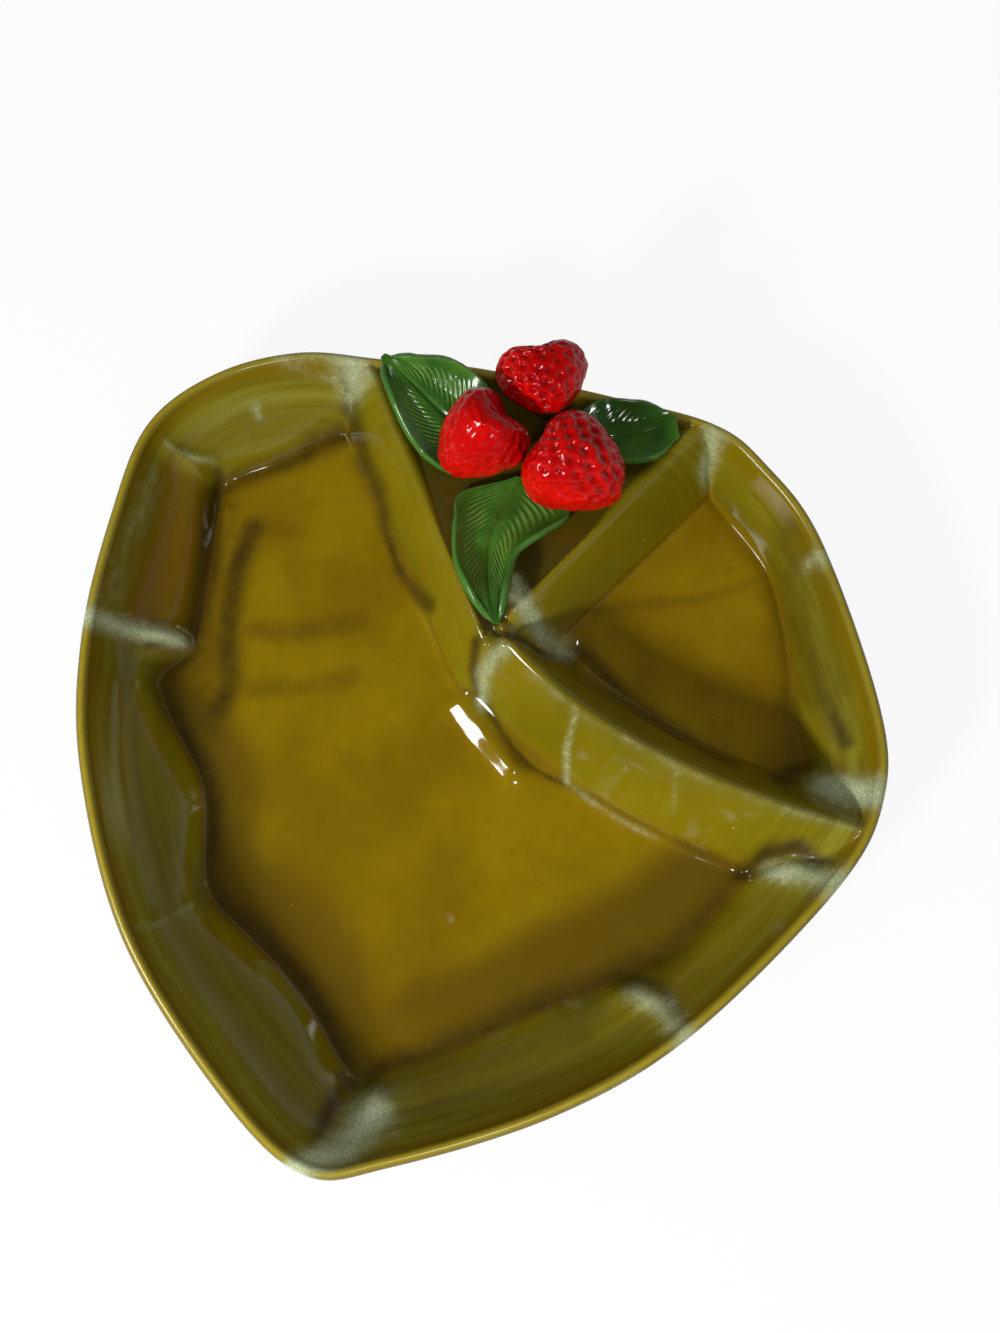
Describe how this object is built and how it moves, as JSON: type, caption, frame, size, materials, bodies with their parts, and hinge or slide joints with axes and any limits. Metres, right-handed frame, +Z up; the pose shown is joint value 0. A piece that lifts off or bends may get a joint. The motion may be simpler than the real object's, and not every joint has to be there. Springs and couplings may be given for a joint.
{
  "type": "divided serving dish",
  "caption": "Free-form glazed pottery serving dish with a large and a small compartment, a rounded divider, and strawberries and leaves applied on a raised land at its back.",
  "frame": {"origin": "middle of the rim outline's box, on the surface that the foot stands on", "axes": "+Z up, +Y from the pointed front of the dish to the back where the strawberries are, +X to the right"},
  "size_m": [0.3, 0.315, 0.0764],
  "materials": {
    "olive_glaze": "gloss",
    "leaf_glaze": "gloss",
    "berry_glaze": "gloss",
    "joining_clay": "satin"
  },
  "bodies": {
    "root": {"dish_body": "olive_glaze", "left_leaf": "leaf_glaze", "front_leaf": "leaf_glaze", "right_leaf": "leaf_glaze", "left_leaf_slip": "joining_clay", "front_leaf_slip": "joining_clay", "right_leaf_slip": "joining_clay", "left_strawberry": "berry_glaze", "right_strawberry": "berry_glaze", "rear_strawberry": "berry_glaze", "left_berry_pad": "joining_clay", "right_berry_pad": "joining_clay", "rear_berry_pad": "joining_clay"}
  },
  "joints": []
}
